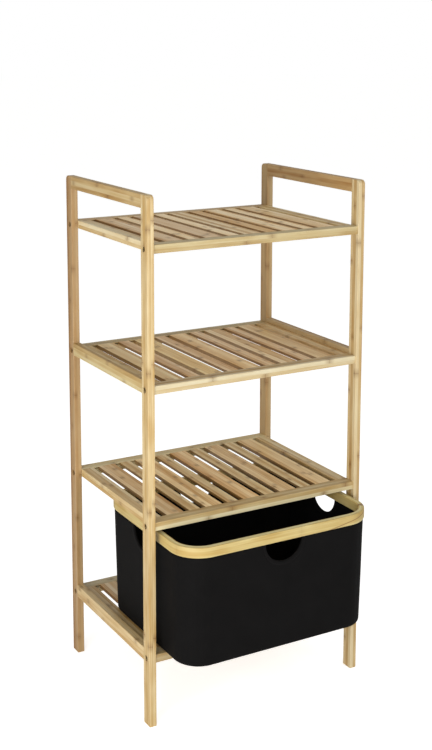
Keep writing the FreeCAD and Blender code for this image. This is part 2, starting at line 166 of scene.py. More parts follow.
class StageLook(bpy.types.PropertyGroup):
    """The camera's place and the studio's lights."""

    azimuth: bearing("Azimuth", "Camera's turn round the rack", -29.15)
    elevation: bearing("Elevation", "Camera's downward tilt", 8.91)
    distance: length("Distance", "From the camera to the point it looks at", 2.5067)
    aim_height: length("Aim height", "Height of the point the camera looks at", 0.906)
    aim_left: length("Aim left", "How far left of the middle that point is", 22.5 * MM)
    aim_back: length("Aim back", "How far behind the middle that point is", 12.5 * MM)
    shift_side: number("Side shift", "How far the view slides sideways in the frame", 0.0213)
    shift_up: number("Upward shift", "How far the view slides upwards in the frame", -0.2)
    lens: FloatProperty(name="Lens", description="Focal length", unit="CAMERA", default=61.32)
    key: power("Key light", "Power of the large front light", 17)
    fill: power("Fill light", "Power of the left light", 31)
    top: power("Top light", "Power of the overhead light", 7)
    sky: number("Room light", "Brightness of the room", 0.42)
    glow: number("Floor glow", "How bright the paper floor is seen", 0.62)


# ---- materials -------------------------------------------------------------------------------


def add(tree, kind, inputs=None, output=0, **settings):
    """Adds a node with its settings, fills or links its inputs, and returns one output."""
    made = tree.nodes.new(kind)
    for name, value in settings.items():
        setattr(made, name, value)
    for socket, value in (inputs or {}).items():
        if isinstance(value, bpy.types.NodeSocket):
            tree.links.new(value, made.inputs[socket])
        else:
            made.inputs[socket].default_value = value
    return made.outputs[output] if made.outputs else None


def new_material(name):
    """A material and its node tree, emptied."""
    material = bpy.data.materials.new(name)
    material.use_nodes = True
    material.node_tree.nodes.clear()
    return material, material.node_tree


def tinted(hue, tint):
    """A colour with its red, green and blue each scaled."""
    return (*(channel * scale for channel, scale in zip(hue, tint)), 1.0)


def tone_and_shade_tint(seed, tone_and_shade_kind):
    """The tint of one piece: no two canes are quite alike, and some are pinker or greener. It is
    scaled by its kind's tint, which for the rear posts and right-hand rails holds painted shade.
    """
    draw = random.Random(seed)
    level = draw.uniform(0.86, 1.08)
    lean = draw.uniform(-0.03, 0.03)
    own = level * (1 + lean), level * (1 - lean / 2), level * draw.uniform(0.94, 1.14)
    return tuple(mine * scale for mine, scale in zip(own, TONE_AND_SHADE_TINTS[tone_and_shade_kind]))


def from_middle(tree, turns):
    """How far a repeating measure is from the middle of its turn, from 0 to a half."""
    part = add(tree, "ShaderNodeMath", {0: turns}, operation="FRACT")
    signed = add(tree, "ShaderNodeMath", {0: part, 1: 0.5}, operation="SUBTRACT")
    return add(tree, "ShaderNodeMath", {0: signed}, operation="ABSOLUTE")


def bamboo_surface(tree, spot, strip, seed, tint, marks=1.0, dark=None):
    """Laminated bamboo, at a spot given along, across and through its strips.

    Glued strips differ in tone. Each shows fine fibre bundles, slow streaks, and a darker
    knuckle where the cane had a joint. A thin clear lacquer gives a soft shine.
    """
    look = bpy.context.scene.bamboo_look
    along, across, through = spot
    width, depth = strip
    column = add(tree, "ShaderNodeMath", {0: across, 1: width}, operation="DIVIDE")
    layer = add(tree, "ShaderNodeMath", {0: through, 1: depth}, operation="DIVIDE")
    which_column = add(tree, "ShaderNodeMath", {0: column}, operation="FLOOR")
    which_layer = add(tree, "ShaderNodeMath", {0: layer}, operation="FLOOR")
    which = {0: which_column, 1: which_layer, 2: float(seed)}
    strip_id = add(tree, "ShaderNodeCombineXYZ", which)
    chance = add(tree, "ShaderNodeTexWhiteNoise", {"Vector": strip_id}, noise_dimensions="3D")
    place = add(tree, "ShaderNodeCombineXYZ", {0: along, 1: across, 2: through})
    # Each strip was cut from another stretch of cane, metres away.
    cut_from = {0: chance.node.outputs["Color"], 1: (7.0, 3.0, 5.0), 2: place}
    cane = add(tree, "ShaderNodeVectorMath", cut_from, operation="MULTIPLY_ADD")
    # Repeats in a metre, along and across the cane, and the detail of four patterns.
    patterns = []
    for stretch, crowd, detail in (
        (9.0, 1 / look.fibre, 2.0),  # fibre bundles, about a millimetre apart
        (6.0, 230.0, 3.0),  # streaks of darker sapwood, a few millimetres wide
        (16.0, 50.0, 1.0),  # cloudy patches, several centimetres long
        (0.0, 260.0, 1.0),  # the wandering line of a knuckle
    ):
        repeats = {0: cane, 1: (stretch, crowd, crowd)}
        scaled = add(tree, "ShaderNodeVectorMath", repeats, operation="MULTIPLY")
        noisy = {"Vector": scaled, "Scale": 1.0, "Detail": detail}
        patterns.append(add(tree, "ShaderNodeTexNoise", noisy))
    fibres, streaks, clouds, wander = patterns
    tone = add(tree, "ShaderNodeMath", {0: chance, 1: 0.7}, operation="MULTIPLY")
    for pattern, weight in ((streaks, 0.75), (clouds, 0.55), (fibres, 0.30)):
        part = {0: pattern, 1: weight, 2: tone}
        tone = add(tree, "ShaderNodeMath", part, operation="MULTIPLY_ADD")
    spread = {"Value": tone, "From Min": 0.72, "From Max": 1.6}
    ramp = add(tree, "ShaderNodeValToRGB", {"Fac": add(tree, "ShaderNodeMapRange", spread)})
    stops = ramp.node.color_ramp.elements
    stops[0].color = tinted(look.pale, tint)
    stops[1].color = tinted(look.brown, tint)
    stops.new(0.5).color = tinted(look.golden, tint)
    # Knuckles: a thin dark band across one strip, with a softer stain round it.
    turn = {0: along, 1: 1 / look.knuckle_gap, 2: chance}
    turn = add(tree, "ShaderNodeMath", turn, operation="MULTIPLY_ADD")
    turn = {0: wander, 1: look.knuckle_wander / look.knuckle_gap, 2: turn}
    turn = add(tree, "ShaderNodeMath", turn, operation="MULTIPLY_ADD")
    from_knuckle = from_middle(tree, turn)
    fades = []
    for reach, strength in ((look.knuckle_band, 0.95), (look.knuckle_stain, 0.52)):
        fade = {
            "Value": from_knuckle,
            "From Min": 0.0,
            "From Max": reach / look.knuckle_gap,
            "To Min": strength * marks,
            "To Max": 0.0,
        }
        fades.append(add(tree, "ShaderNodeMapRange", fade, interpolation_type="SMOOTHSTEP"))
    band, stain = fades
    either = add(tree, "ShaderNodeMath", {0: band, 1: stain}, operation="MAXIMUM")
    patchy = add(tree, "ShaderNodeMath", {0: streaks, 1: 1.3, 2: 0.1}, operation="MULTIPLY_ADD")
    mark = add(tree, "ShaderNodeMath", {0: either, 1: patchy}, operation="MULTIPLY")
    # The dark glue line between two strips.
    gap = {
        "Value": from_middle(tree, column),
        "From Min": 0.5 - look.glue_line / width,
        "From Max": 0.5,
        "To Max": 0.35,
    }
    line = add(tree, "ShaderNodeMapRange", gap)
    # Each mask darkens towards the knuckle colour: the knuckle marks, the glue lines, and any mask
    # given as dark: the hoop's joint line, and painted shade on the sides of slats.
    tone = ramp
    for mask in (mark, line, dark):
        if mask:
            darkened = {0: mask, MIX_FIRST: tone, MIX_SECOND: look.knuckle}
            tone = add(tree, "ShaderNodeMix", darkened, MIX_RESULT, data_type="RGBA")
    # Fibres stand up a little, glue lines sink, and knuckles make a low ridge.
    sunk = add(tree, "ShaderNodeMath", {0: line, 1: 2.0}, operation="MULTIPLY")
    height = add(tree, "ShaderNodeMath", {0: fibres, 1: sunk}, operation="SUBTRACT")
    height = add(tree, "ShaderNodeMath", {0: band, 1: 0.8, 2: height}, operation="MULTIPLY_ADD")
    relief = {"Height": height, "Strength": 0.25, "Distance": 0.15 * MM}
    satin = {"Value": streaks, "From Min": 0.3, "From Max": 0.7, "To Min": 0.42, "To Max": 0.56}
    lacquered = {
        "Base Color": tone,
        "Roughness": add(tree, "ShaderNodeMapRange", satin),
        "IOR": 1.5,
        "Normal": add(tree, "ShaderNodeBump", relief),
        "Coat Weight": 0.12,
        "Coat Roughness": 0.3,
    }
    surface = add(tree, "ShaderNodeBsdfPrincipled", lacquered)
    add(tree, "ShaderNodeOutputMaterial", {"Surface": surface})


def bamboo_bar(name, grain, corner, strip, seed, tint, pitch=None, slat=False):
    """Lacquered laminated bamboo for a straight bar, with its strips counted from a corner."""
    material, tree = new_material(name)
    place = add(tree, "ShaderNodeTexCoord", output="Object")
    start = tuple(value - PLANED for value in corner)
    moved = add(tree, "ShaderNodeVectorMath", {0: place, 1: start}, operation="SUBTRACT")
    parts = add(tree, "ShaderNodeSeparateXYZ", {0: moved}).node.outputs
    across, through = [axis for axis in (0, 1, 2) if axis != grain]
    wide = parts[across]
    if pitch:
        # Bars that share a node repeat at a pitch, and each starts a hundred strips further on.
        steps = add(tree, "ShaderNodeMath", {0: wide, 1: pitch}, operation="DIVIDE")
        count = add(tree, "ShaderNodeMath", {0: steps}, operation="FLOOR")
        further = {0: count, 1: 100 * strip[0] - pitch, 2: wide}
        wide = add(tree, "ShaderNodeMath", further, operation="MULTIPLY_ADD")
    painted_slot_shade = None
    if slat:
        # Painted shade: a slat's sides, down in the narrow slots, are darkened towards the knuckle
        # colour as if in shade.
        facing = add(tree, "ShaderNodeTexCoord", output="Normal")
        side = add(tree, "ShaderNodeSeparateXYZ", {0: facing})
        side = add(tree, "ShaderNodeMath", {0: side}, operation="ABSOLUTE")
        slot_shade_spread = {"Value": side, "From Min": 0.6, "From Max": 0.95, "To Max": 0.8}
        painted_slot_shade = add(tree, "ShaderNodeMapRange", slot_shade_spread)
    spot = parts[grain], wide, parts[through]
    bamboo_surface(tree, spot, strip, seed, tint, dark=painted_slot_shade)
    return material


def bent_bamboo(name, base, ply, joint_at):
    """Steam-bent bamboo: thin plies follow the hoop, and a long scarf joint closes it."""
    material, tree = new_material(name)
    hoop = add(tree, "ShaderNodeUVMap", uv_map="Hoop")
    run, inset, _ = add(tree, "ShaderNodeSeparateXYZ", {0: hoop}).node.outputs
    inset = add(tree, "ShaderNodeMath", {0: inset, 1: PLANED}, operation="ADD")
    place = add(tree, "ShaderNodeTexCoord", output="Object")
    level = add(tree, "ShaderNodeSeparateXYZ", {0: place}, output=2)
    height = add(tree, "ShaderNodeMath", {0: level, 1: base - PLANED}, operation="SUBTRACT")
    # The joint slopes across the outer face, a millimetre down for every six along.
    slant = add(tree, "ShaderNodeMath", {0: height, 1: 6.0, 2: run}, operation="MULTIPLY_ADD")
    off = add(tree, "ShaderNodeMath", {0: slant, 1: joint_at}, operation="SUBTRACT")
    off = add(tree, "ShaderNodeMath", {0: off}, operation="ABSOLUTE")
    fade = {"Value": off, "From Min": 2.5 * MM, "From Max": 8 * MM, "To Min": 0.8, "To Max": 0.0}
    hairline = add(tree, "ShaderNodeMapRange", fade)
    # A ply is taller than the hoop, and steaming leaves its knuckles faint.
    strip = ply, 8 * ply
    spot = run, inset, height
    seed = 71
    bamboo_surface(tree, spot, strip, seed, TONE_AND_SHADE_TINTS["hoop"], marks=0.35, dark=hairline)
    return material


def black_cloth(name, dye, uv_map=None):
    """Plain-woven polyester cloth, dyed black: matt, with a faint sheen at glancing angles.

    Its threads are drawn about three times as coarse as real ones, so that they show.
    """
    look = bpy.context.scene.basket_look
    material, tree = new_material(name)
    if uv_map:
        place = add(tree, "ShaderNodeUVMap", uv_map=uv_map)
    else:
        place = add(tree, "ShaderNodeTexCoord", output="Object")
    parts = add(tree, "ShaderNodeSeparateXYZ", {0: place}).node.outputs
    threads = []
    per_metre = math.pi / look.thread
    for part in parts[:2]:
        turns = add(tree, "ShaderNodeMath", {0: part, 1: per_metre}, operation="MULTIPLY")
        threads.append(add(tree, "ShaderNodeMath", {0: turns}, operation="SINE"))
    weave = add(tree, "ShaderNodeMath", {0: threads[0], 1: threads[1]}, operation="MULTIPLY")
    weave = add(tree, "ShaderNodeMath", {0: weave}, operation="ABSOLUTE")
    # Loose fibres stand up about a millimetre apart, and the dye is cloudy over centimetres.
    # The colour follows that cloudiness and, faintly, the weave's height: lighter where threads
    # and fibres stand up.
    fluff = add(tree, "ShaderNodeTexNoise", {"Vector": place, "Scale": 900.0, "Detail": 2.0})
    cast = add(tree, "ShaderNodeTexNoise", {"Vector": place, "Scale": 22.0, "Detail": 2.0})
    height = add(tree, "ShaderNodeMath", {0: fluff, 1: 0.6, 2: weave}, operation="MULTIPLY_ADD")
    relief = {"Height": height, "Strength": 0.35, "Distance": 0.2 * MM}
    dye_and_weave = add(tree, "ShaderNodeMath", {0: height, 1: 0.3}, operation="MULTIPLY")
    dye_and_weave = add(tree, "ShaderNodeMath", {0: cast, 1: 0.7, 2: dye_and_weave}, operation="MULTIPLY_ADD")
    uneven = {"Value": dye_and_weave, "From Min": 0.2, "From Max": 0.8, "To Min": 0.75, "To Max": 1.25}
    dyed = {0: tuple(dye)[:3], 3: add(tree, "ShaderNodeMapRange", uneven)}
    cloth = {
        "Base Color": add(tree, "ShaderNodeVectorMath", dyed, operation="SCALE"),
        "Roughness": 0.7,
        "IOR": 1.5,
        "Specular IOR Level": 0.06,
        "Normal": add(tree, "ShaderNodeBump", relief),
        "Sheen Weight": 0.01,
        "Sheen Roughness": 0.5,
    }
    surface = add(tree, "ShaderNodeBsdfPrincipled", cloth)
    add(tree, "ShaderNodeOutputMaterial", {"Surface": surface})
    return material


def zinc_steel(name):
    """Yellow-passivated zinc on steel: dull brassy brown, mottled at a millimetre or so."""
    material, tree = new_material(name)
    place = add(tree, "ShaderNodeTexCoord", output="Object")
    mottle = add(tree, "ShaderNodeTexNoise", {"Vector": place, "Scale": 700.0, "Detail": 3.0})
    mixed = {0: mottle, MIX_FIRST: linear("#7C6C48"), MIX_SECOND: linear("#4C3F28")}
    dull = {"Value": mottle, "From Min": 0.3, "From Max": 0.7, "To Min": 0.35, "To Max": 0.55}
    plated = {
        "Base Color": add(tree, "ShaderNodeMix", mixed, MIX_RESULT, data_type="RGBA"),
        "Metallic": 1.0,
        "Roughness": add(tree, "ShaderNodeMapRange", dull),
    }
    surface = add(tree, "ShaderNodeBsdfPrincipled", plated)
    add(tree, "ShaderNodeOutputMaterial", {"Surface": surface})
    return material


# ---- shared ways of making a piece -----------------------------------------------------------


def paint(node_name, material):
    """Gives a CAD node a material."""
    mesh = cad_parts[node_name].data
    mesh.materials.clear()
    mesh.materials.append(material)


def strip_size(span):
    """The strip width nearest the usual one that fills a span before it is planed."""
    usual = bpy.context.scene.bamboo_look.strip
    return (span + 2 * PLANED) / max(1, round(span / usual))


def dress_bar(node_name, grain, seed, tone_and_shade_kind):
    """Gives a straight bamboo bar its own run of strips and its own tint."""
    low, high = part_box(node_name)
    strip = [strip_size(high[axis] - low[axis]) for axis in (0, 1, 2) if axis != grain]
    tint = tone_and_shade_tint(seed, tone_and_shade_kind)
    name = f"lacquered bamboo {node_name}"
    slat = tone_and_shade_kind == "slat"
    paint(node_name, bamboo_bar(name, grain, low, strip, seed, tint, slat=slat))


def finish_piece(name, mesh, material):
    """Makes a smooth object of a bmesh, which rides with the basket."""
    if not mesh.faces:
        raise ValueError(f"{name} has no faces")
    data = bpy.data.meshes.new(name)
    mesh.to_mesh(data)
    mesh.free()
    data.materials.append(material)
    data.shade_smooth()
    piece = bpy.data.objects.new(name, data)
    bpy.context.scene.collection.objects.link(piece)
    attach(piece, "basket")
    return piece


def round_bevel(mesh, edges, radius, segments):
    """Rounds some edges of a mesh."""
    if not edges:
        raise ValueError("no edges to round")
    bmesh.ops.bevel(
        mesh,
        geom=edges,
        affect="EDGES",
        offset=radius,
        segments=segments,
        profile=0.5,
        material=-1,
    )


def slice_mesh(mesh, point, normal):
    """Cuts new edges into a mesh where a plane crosses it, and takes nothing away."""
    whole = [*mesh.verts, *mesh.edges, *mesh.faces]
    bmesh.ops.bisect_plane(mesh, geom=whole, plane_co=point, plane_no=normal, dist=1e-6)


def fatter(mesh, half):
    """Whether a mesh is wider than a box twice this half size, by over a tenth of a mm."""
    span = max(v.co.x for v in mesh.verts) - min(v.co.x for v in mesh.verts)
    return span > 2 * half.x + 0.1 * MM


# ---- the basket's walls ----------------------------------------------------------------------


class Walls:
    """The rounded rectangle that the hoop and the cloth both follow."""

    # Where a crease lies on a corner and how far it spreads, in degrees from front or rear.
    crease_at = 27
    crease_spread = 4.4

    def __init__(self):
        self.look = bpy.context.scene.basket_look
        low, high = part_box("basket_rim")
        self.corner = self.look.rim_corner
        self.middle = (low + high) / 2
        self.half = (high - low) / 2
        self.reach = Vector((self.half.x - self.corner, self.half.y - self.corner))
        self.quarter = self.reach.x + self.reach.y + self.corner * math.pi / 2
        self.rim_low = low.z
        self.rim_high = high.z
        self.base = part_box("basket_fabric")[0].z

    def past(self, point):
        """How far a point lies beyond the ends of the straight walls, each way."""
        x = abs(point.x - self.middle.x) - self.reach.x
        y = abs(point.y - self.middle.y) - self.reach.y
        return Vector((max(x, 0.0), max(y, 0.0)))

    def outward(self, point):
        """The level direction straight out of the wall at a point."""
        x, y = self.past(point)
        x = math.copysign(x, point.x - self.middle.x)
        y = math.copysign(y, point.y - self.middle.y)
        return Vector((x, y, 0)).normalized()

    def inset(self, point):
        """How far a point lies inside the hoop's outer face."""
        return self.corner - self.past(point).length

    def run(self, point, side):
        """Distance round the walls from the middle of the rear, on a face's side of it."""
        x, y = self.past(point)
        run = min(abs(point.x - self.middle.x), self.reach.x) + self.corner * math.atan2(x, y)
        run += self.reach.y - min(abs(point.y - self.middle.y), self.reach.y)
        right, rear = side.x > self.middle.x, side.y > self.middle.y
        if right:
            return run if rear else 2 * self.quarter - run
        return 4 * self.quarter - run if rear else 2 * self.quarter + run

    def tube(self, inset, low, high, segments):
        """An upright box on this outline, with its four upright edges rounded."""
        mesh = bmesh.new()
        bmesh.ops.create_cube(mesh, size=2)
        size = (self.half.x - inset, self.half.y - inset, (high - low) / 2)
        bmesh.ops.scale(mesh, verts=mesh.verts, vec=size)
        middle = (self.middle.x, self.middle.y, (low + high) / 2)
        bmesh.ops.translate(mesh, verts=mesh.verts, vec=middle)
        upright = [e for e in mesh.edges if (e.verts[0].co - e.verts[1].co).xy.length < 1e-6]
        round_bevel(mesh, upright, self.corner - inset, segments)
        return mesh

    def soften(self, mesh):
        """Leans, swells and creases cloth that was built upright."""
        for vertex in mesh.verts:
            out = self.outward(vertex.co)
            share = (vertex.co.z - self.base) / (self.rim_low - self.base)
            lean = -self.look.taper * (1 - share)
            vertex.co += out * (lean + self.swell(vertex.co, min(max(share, 0.0), 1.0)))

    def swell(self, point, share):
        """How far the cloth stands out: a slight belly, slow waves and a crease by each corner."""
        x, y = self.past(point)
        belly = math.sin(math.pi * share)
        # A wave is about a tenth of a metre long, and under half a wall high.
        spot = Vector((self.run(point, point) * 9, share * 2.5, 4.0))
        wave = self.look.wave * belly * noise.noise(spot)
        if x > 0 and y > 0:
            # Each stiff front or rear panel ends a third of the way round its corners.
            off_crease = abs(math.degrees(math.atan2(x, y)) - self.crease_at)
            fold = max(0.0, 1 - off_crease / self.crease_spread) * min(1.0, 3 * belly)
            return wave - self.look.crease * fold
        along = abs(point.x - self.middle.x) / self.reach.x if y else 0.0
        along = along or abs(point.y - self.middle.y) / self.reach.y
        return wave + self.look.belly * math.cos(min(along, 1.0) * math.pi / 2) * belly

    def unwrap(self, mesh, name, second):
        """A UV map in metres: round the walls, and a second measure of each point."""
        layer = mesh.loops.layers.uv.new(name)
        for face in mesh.faces:
            side = face.calc_center_median()
            for corner in face.loops:
                spot = corner.vert.co
                corner[layer].uv = (self.run(spot, side), second(spot))


# ---- operators -------------------------------------------------------------------------------


class RACK_OT_end_frames(bpy.types.Operator):
    """Lacquers the posts, top rails and side rails of both end frames"""

    bl_idname = "rack.end_frames"
    bl_label = "End frames"

    def execute(self, context):
        seed = 1
        for node_name in sorted(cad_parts):
            side = "right" if "right" in node_name else "left"
            if node_name.startswith("post_"):
                # Rear posts and right-hand rails take tints that hold painted shade.
                tone_and_shade_kind = "rear_post" if "rear" in node_name else f"{side}_post"
                dress_bar(node_name, 2, seed, tone_and_shade_kind)
            elif node_name.startswith(("top_rail_", "side_rail_", "frame_dowels")):
                dress_bar(node_name, 1, seed, f"{side}_rail")
            seed += 1
        return {"FINISHED"}


class RACK_OT_shelves(bpy.types.Operator):
    """Lacquers the rails, side bars and slats of every shelf"""

    bl_idname = "rack.shelves"
    bl_label = "Shelves"
    narrow_slats = 4

    def execute(self, context):
        seed = 101
        for node_name in sorted(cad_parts):
            if not node_name.startswith("shelf_") or node_name == "shelf_bolts":
                continue
            seed += 1
            if node_name.endswith("narrow_slats"):
                self.dress_narrow_slats(node_name, seed)
            elif node_name.endswith("_rail"):
                dress_bar(node_name, 0, seed, "shelf_rail")
            else:
                dress_bar(node_name, 1, seed, "slat" if "_slat_" in node_name else "side_bar")
        return {"FINISHED"}

    def dress_narrow_slats(self, node_name, seed):
        """The narrow slats share a node and a tint, and each has its own strips."""
        wide = node_name.replace("narrow_slats", "wide_slat_")
        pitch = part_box(wide + "2")[0].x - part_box(wide + "1")[0].x
        low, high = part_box(node_name)
        slat = high.x - low.x - (self.narrow_slats - 1) * pitch
        strip = strip_size(slat), strip_size(high.z - low.z)
        tint = tone_and_shade_tint(seed, "slat")
        name = f"lacquered bamboo {node_name}"
        paint(node_name, bamboo_bar(name, 1, low, strip, seed, tint, pitch, slat=True))


class RACK_OT_hardware(bpy.types.Operator):
    """Plates the bolts and barrel nuts"""

    bl_idname = "rack.hardware"
    bl_label = "Bolts and nuts"

    def execute(self, context):
        steel = zinc_steel("yellow zinc plated steel")
        for node_name in ("shelf_bolts", "barrel_nuts"):
            paint(node_name, steel)
        return {"FINISHED"}


class RACK_OT_basket_rim(bpy.types.Operator):
    """Bends the bamboo hoop round the top of the basket"""

    bl_idname = "rack.basket_rim"
    bl_label = "Basket rim"

    def execute(self, context):
        look = context.scene.basket_look
        walls = Walls()
        mesh = walls.tube(0.0, walls.rim_low, walls.rim_high, segments=14)
        caps = [face for face in mesh.faces if abs(face.normal.z) > 0.5]
        bmesh.ops.delete(mesh, geom=caps, context="FACES_ONLY")
        for normal in ((1, 0, 0), (0, 1, 0)):
            slice_mesh(mesh, walls.middle, normal)
        bmesh.ops.solidify(mesh, geom=mesh.faces[:], thickness=look.rim_thickness)
        bmesh.ops.recalc_face_normals(mesh, faces=mesh.faces)
        if fatter(mesh, walls.half):
            raise ValueError("the hoop grew outwards instead of inwards")
        level = [e for e in mesh.edges if e.calc_face_angle(0.0) > math.radians(60)]
        round_bevel(mesh, level, look.rim_edge, 4)
        walls.unwrap(mesh, "Hoop", walls.inset)
        joint_at = 2 * walls.quarter - look.joint
        plies = 4
        ply = (look.rim_thickness + 2 * PLANED) / plies
        wood = bent_bamboo("steam bent bamboo", walls.rim_low, ply, joint_at)
        rim = finish_piece("bamboo_hoop", mesh, wood)
        rim.modifiers.new("Flat faces", "WEIGHTED_NORMAL")
        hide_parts("basket_rim")
        return {"FINISHED"}


class RACK_OT_basket_cloth(bpy.types.Operator):
    """Sews the stiffened cloth body of the basket, with its bound hand holes"""

    bl_idname = "rack.basket_cloth"
    bl_label = "Basket cloth"

    def execute(self, context):
        look = context.scene.basket_look
        walls = Walls()
        cloth = black_cloth("black woven polyester", look.cloth, "Weave")
        body = finish_piece("basket_cloth", self.body(walls, look), cloth)
        thick = body.modifiers.new("Wall", "SOLIDIFY")
        thick.thickness = look.wall
        thick.offset = -1
        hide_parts("basket_fabric")
        tape = black_cloth("black polyester binding tape", look.cloth)
        bound = self.binding(walls, look)
        binding = finish_piece("hand_hole_binding", bound, tape)
        thread = black_cloth("black polyester sewing thread", look.sewing)
        sewn = self.stitches(walls, look)
        stitches = finish_piece("binding_stitches", sewn, thread)
        return {"FINISHED"}

    def body(self, walls, look):
        """One sheet: a floor, a folded edge and four walls that dip at the hand holes."""
        tuck = 1.5 * MM
        top = walls.rim_low + tuck
        mesh = walls.tube(look.inset, walls.base, top, segments=20)
        base = [face for face in mesh.faces if face.normal.z < -0.5]
        round_bevel(mesh, base[0].edges[:], look.base_edge, 4)
        lid = [face for face in mesh.faces if face.normal.z > 0.5]
        bmesh.ops.delete(mesh, geom=lid, context="FACES")
        rows = 22
        fold_top = walls.base + look.base_edge
        for row in range(1, rows):
            height = fold_top + row / rows * (top - fold_top)
            slice_mesh(mesh, Vector((0, 0, height)), (0, 0, 1))
        for axis, normal in enumerate(((1, 0, 0), (0, 1, 0))):
            for offset in self.columns(walls.reach[axis], look.hand_hole):
                slice_mesh(mesh, walls.middle + offset * Vector(normal), normal)
        walls.unwrap(mesh, "Weave", lambda spot: spot.z)
        layer = mesh.loops.layers.uv["Weave"]
        for face in mesh.faces:
            if face.normal.z < -0.9:
                for corner in face.loops:
                    corner[layer].uv = corner.vert.co.xy
        for vertex in mesh.verts:
            share = max(0.0, (vertex.co.z - fold_top) / (top - fold_top))
            vertex.co.z -= share * self.dip(walls, vertex.co, look.hand_hole)
        walls.soften(mesh)
        return mesh

    @staticmethod
    def columns(reach, hand_hole, arc_steps=16, gap=14 * MM):
        """Where a wall is divided: evenly round the hand hole, and at a regular gap beside it."""
        spots = [hand_hole * math.cos(math.pi * step / arc_steps) for step in range(arc_steps + 1)]
        beside = round((reach - hand_hole) / gap)
        for step in range(1, beside):
            offset = hand_hole + (reach - hand_hole) * step / beside
            spots += [offset, -offset]
        return spots

    @staticmethod
    def dip(walls, point, hand_hole):
        """How far the top edge dips at a point, for a half-round hand hole."""
        x, y = walls.past(point)
        if x and y:
            return 0.0
        offset = abs(point.x - walls.middle.x) if y else abs(point.y - walls.middle.y)
        return math.sqrt(max(0.0, hand_hole**2 - offset**2))

    def round_hole(self, walls, look, turn):
        """Where a hand hole's middle lies on the cloth's outer face, and its wall's turn."""
        depth = (walls.half.y, walls.half.x)[turn % 2] - look.inset
        spin = Matrix.Rotation(turn * math.pi / 2, 3, "Z")
        middle = Vector((walls.middle.x, walls.middle.y, walls.rim_low))
        return middle + spin @ Vector((0, -depth, 0)), spin

    def binding(self, walls, look):
        """Tape folded over the cut edge of each hand hole."""
        mesh = bmesh.new()
        thick = look.wall + 2 * look.tape
        for turn in range(4):
            hole, spin = self.round_hole(walls, look, turn)
            made = bmesh.ops.create_grid(mesh, x_segments=1, y_segments=1, size=0.5)
            section = made["verts"]
            bmesh.ops.scale(mesh, verts=section, vec=(look.binding, thick, 1))
            out = Vector((look.hand_hole + look.binding / 2 - look.tape, look.wall / 2, 0))
            bmesh.ops.translate(mesh, verts=section, vec=out)
            bmesh.ops.rotate(mesh, verts=section, cent=(0, 0, 0), matrix=spin)
            bmesh.ops.translate(mesh, verts=section, vec=hole)
            faces = list({face for vertex in section for face in vertex.link_faces})
            edges = list({edge for vertex in section for edge in vertex.link_edges})
            bmesh.ops.spin(
                mesh,
                geom=[*section, *edges, *faces],
                cent=hole,
                axis=spin @ Vector((0, 1, 0)),
                angle=math.pi,
                steps=28,
            )
        bmesh.ops.holes_fill(mesh, edges=[e for e in mesh.edges if e.is_boundary], sides=4)
        bmesh.ops.recalc_face_normals(mesh, faces=mesh.faces)
        if any(not edge.is_manifold for edge in mesh.edges):
            raise ValueError("the binding tape isn't closed")
        sharp = [e for e in mesh.edges if e.calc_face_angle(0.0) > math.radians(57)]
        round_bevel(mesh, sharp, 0.7 * MM, 2)
        walls.soften(mesh)
        return mesh

    def stitches(self, walls, look):
        """A row of stitches along each tape, outside and inside."""
        mesh = bmesh.new()
        size = (look.stitch, 0.5 * MM, 0.9 * MM)
        # The seam runs a little outside the tape's middle, with half a stitch between stitches.
        radius = look.hand_hole + 0.62 * look.binding
        spacing = 1.5 * look.stitch
        count = round(math.pi * radius / spacing)
        for turn in range(4):
            hole, spin = self.round_hole(walls, look, turn)
            for step in range(count):
                swing = math.pi * (step + 0.5) / count
                for depth in (-look.tape, look.wall + look.tape):
                    made = bmesh.ops.create_icosphere(mesh, subdivisions=1, radius=0.5)
                    dot = made["verts"]
                    bmesh.ops.scale(mesh, verts=dot, vec=size)
                    around = Matrix.Rotation(-swing - math.pi / 2, 3, "Y")
                    bmesh.ops.rotate(mesh, verts=dot, cent=(0, 0, 0), matrix=around)
                    spot = (radius * math.cos(swing), depth, -radius * math.sin(swing))
                    bmesh.ops.translate(mesh, verts=dot, vec=spot)
                    bmesh.ops.rotate(mesh, verts=dot, cent=(0, 0, 0), matrix=spin)
                    bmesh.ops.translate(mesh, verts=dot, vec=hole)
        walls.soften(mesh)
        return mesh


class RACK_OT_basket_board(bpy.types.Operator):
    """Covers the stiff board in the bottom of the basket"""

    bl_idname = "rack.basket_board"
    bl_label = "Basket board"

    def execute(self, context):
        look = context.scene.basket_look
        paint("basket_base_board", black_cloth("black woven board cover", look.cloth))
        return {"FINISHED"}


